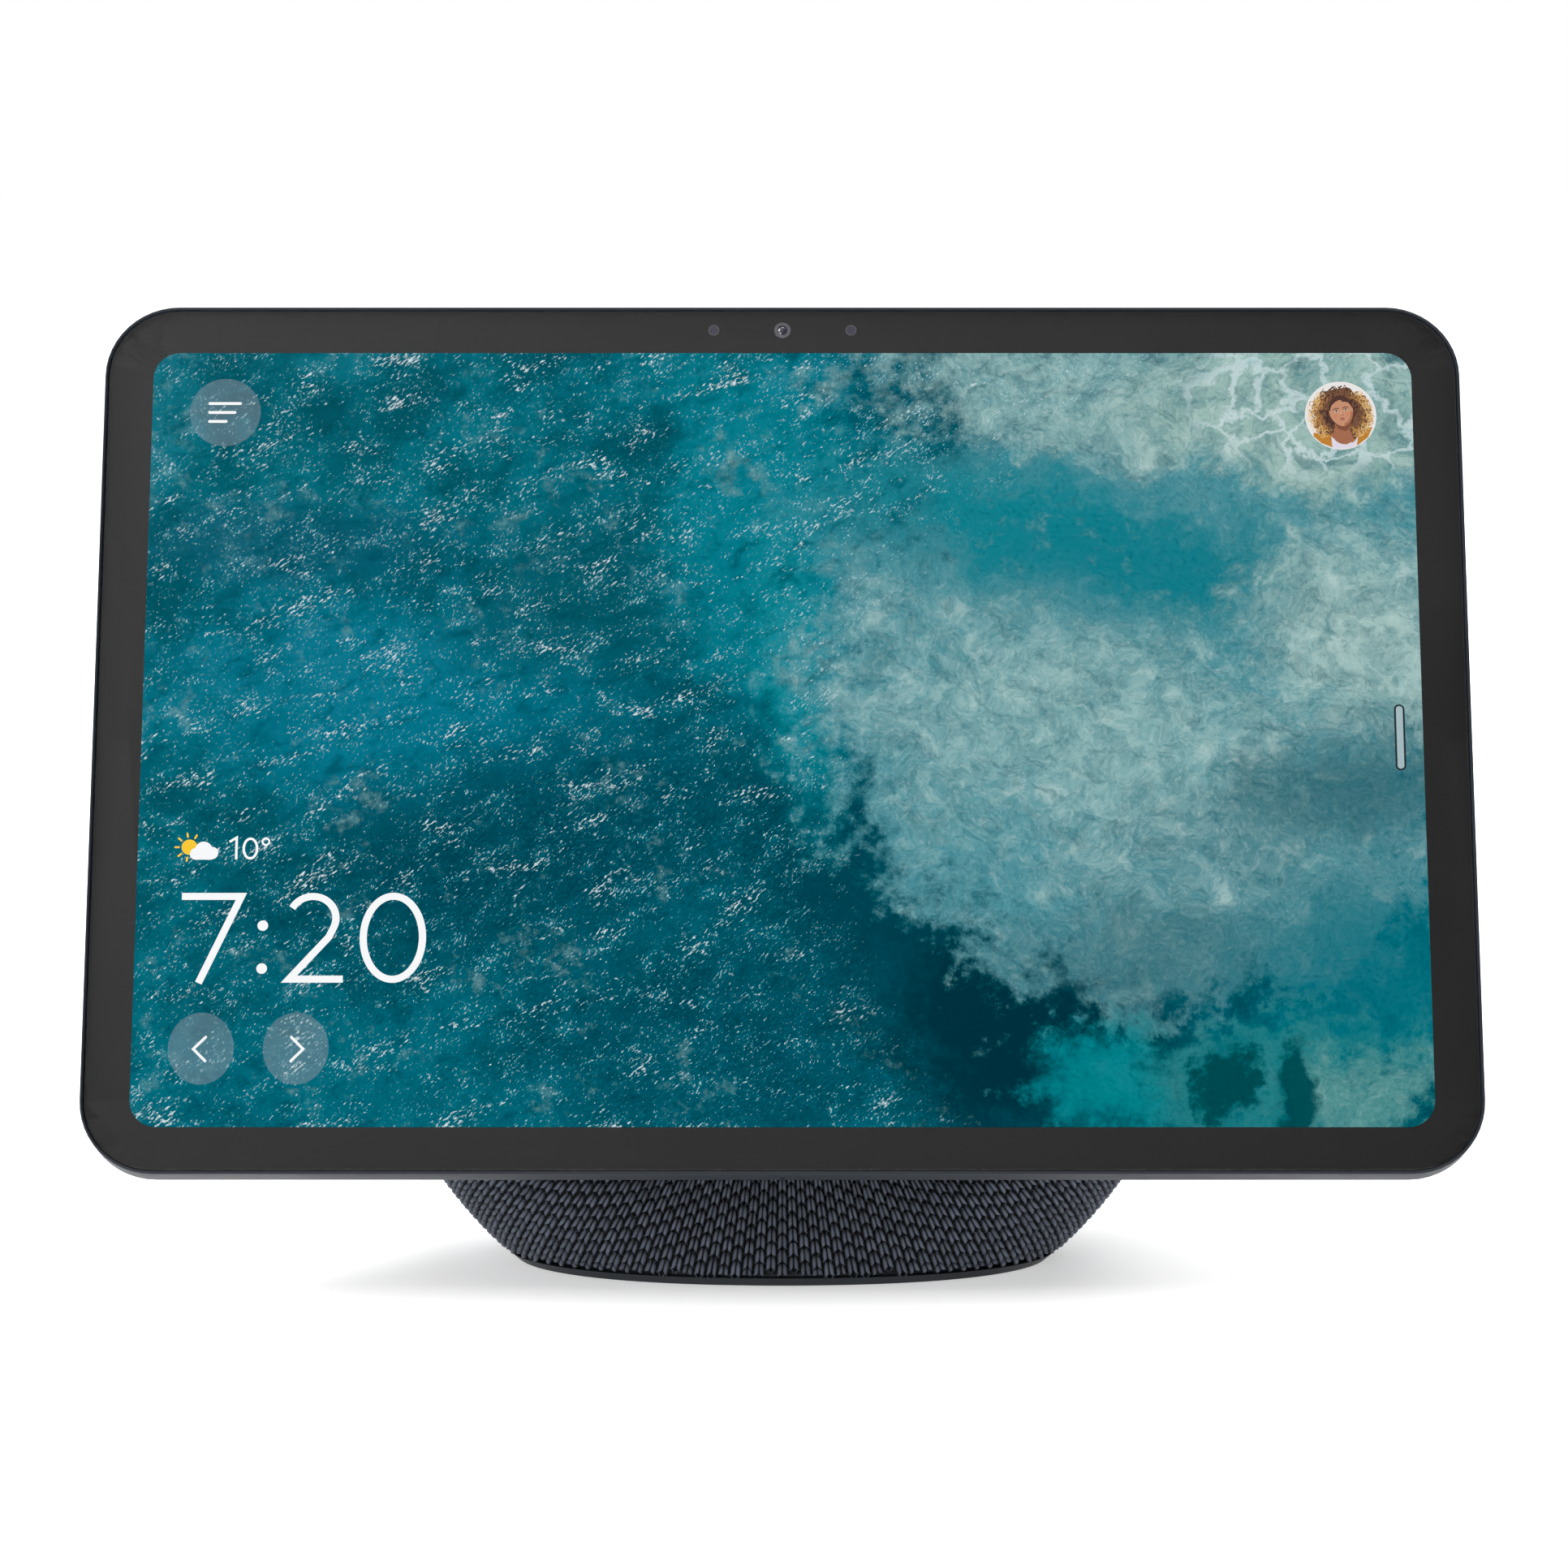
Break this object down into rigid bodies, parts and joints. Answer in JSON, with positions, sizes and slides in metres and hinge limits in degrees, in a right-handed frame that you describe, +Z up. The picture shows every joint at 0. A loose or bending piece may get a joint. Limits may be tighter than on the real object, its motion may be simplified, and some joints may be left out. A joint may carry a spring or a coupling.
{
  "type": "smart display",
  "caption": "Countertop smart display: tilted touch screen with side keys on a rounded knit-covered loudspeaker pod with a slim base ring.",
  "frame": {"origin": "centre of the foot pad's underside, on the surface that it stands on", "axes": "+Z up, the screen faces -Y, +X to the right as seen from the front"},
  "size_m": [0.2541, 0.1167, 0.18],
  "materials": {
    "display_glass": "gloss cover glass",
    "black_ink": "printed black border under the glass",
    "lit_panel": "display cell, lit picture",
    "white_plastic": "light guide and reflector sheets",
    "head_plastic": "fine satin texture, slate",
    "dark_plastic": "satin moulded plastic",
    "slate_knit": "chunky polyester knit",
    "lens_glass": "coated lens",
    "grey_metal": "dark grey ring",
    "aluminium": "sheet, brushed",
    "steel": "zinc-plated steel",
    "circuit_board": "solder mask with tracks",
    "tinned_steel": "tinned sheet",
    "graphite": "graphite film on foil",
    "ferrite": "sintered magnet",
    "rubber": "soft non-slip rubber",
    "paper_cone": "pressed pulp cone",
    "copper": "enamelled wire",
    "amber_cloth": "resin-dipped cloth",
    "flex_film": "polyimide film",
    "foam_tape": "bonding tape",
    "lead_sleeve": "wire insulation"
  },
  "bodies": {
    "root": {"cover_glass": "display_glass", "bezel_mask": "black_ink", "glass_tape": "foam_tape", "lcd_panel": "lit_panel", "backlight_unit": "white_plastic", "front_frame": "head_plastic", "rear_cover": "head_plastic", "midframe": "aluminium", "side_key_flex": "flex_film", "camera_ring": "grey_metal", "camera_lens": "lens_glass", "camera_module": "dark_plastic", "sensor_windows": "lens_glass", "sensor_rims": "grey_metal", "light_and_presence_sensors": "dark_plastic", "microphone_board": "circuit_board", "main_board": "circuit_board", "shield_can": "tinned_steel", "heat_spreader": "graphite", "antennas": "flex_film", "mounting_bracket": "steel", "neck_screws": "steel", "midframe_screws": "steel", "neck_collar": "dark_plastic", "ribbon_cable": "flex_film", "fabric_sleeve": "slate_knit", "pod_front_shell": "dark_plastic", "pod_rear_shell": "dark_plastic", "shell_screws": "steel", "front_baffle": "dark_plastic", "front_trim_disc": "dark_plastic", "rear_cap": "dark_plastic", "base_ring": "dark_plastic", "foot_pad": "rubber", "ballast_weight": "steel", "base_screws": "steel", "woofer_yoke": "steel", "woofer_surround": "rubber", "woofer_spider": "amber_cloth", "woofer_top_plate": "steel", "woofer_magnet": "ferrite", "woofer_basket": "steel", "woofer_screws": "steel", "driver_frames": "dark_plastic", "driver_magnets": "ferrite", "left_driver_surround": "rubber", "right_driver_surround": "rubber", "driver_tubes": "dark_plastic", "power_jack": "dark_plastic", "power_board": "circuit_board", "amplifier_shield": "tinned_steel", "internal_leads": "lead_sleeve"},
    "mute_key": {"mute_button": "head_plastic"},
    "volume_up_key": {"volume_up_button": "head_plastic"},
    "volume_down_key": {"volume_down_button": "head_plastic"},
    "woofer_motion": {"woofer_cone": "paper_cone", "woofer_dust_cap": "paper_cone", "woofer_voice_coil": "copper"},
    "left_driver_motion": {"left_driver_cone": "paper_cone"},
    "right_driver_motion": {"right_driver_cone": "paper_cone"}
  },
  "joints": [
    {"name": "mute_press", "type": "slide", "parent": "root", "child": "mute_key", "axis": [-1, 0, 0], "range_m": [0, 0.0003], "stiffness_N_per_m": 2500},
    {"name": "volume_up_press", "type": "slide", "parent": "root", "child": "volume_up_key", "axis": [-1, 0, 0], "range_m": [0, 0.0003], "stiffness_N_per_m": 2500},
    {"name": "volume_down_press", "type": "slide", "parent": "root", "child": "volume_down_key", "axis": [-1, 0, 0], "range_m": [0, 0.0003], "stiffness_N_per_m": 2500},
    {"name": "woofer_excursion", "type": "slide", "parent": "root", "child": "woofer_motion", "axis": [0, -0.9319, 0.3626], "range_m": [-0.002, 0.002], "stiffness_N_per_m": 1500, "deforming": ["woofer_surround", "woofer_spider"]},
    {"name": "left_driver_excursion", "type": "slide", "parent": "root", "child": "left_driver_motion", "axis": [-1, 0, 0], "range_m": [-0.001, 0.001], "stiffness_N_per_m": 1200, "deforming": ["left_driver_surround"]},
    {"name": "right_driver_excursion", "type": "slide", "parent": "root", "child": "right_driver_motion", "axis": [1, 0, 0], "range_m": [-0.001, 0.001], "stiffness_N_per_m": 1200, "deforming": ["right_driver_surround"]}
  ]
}
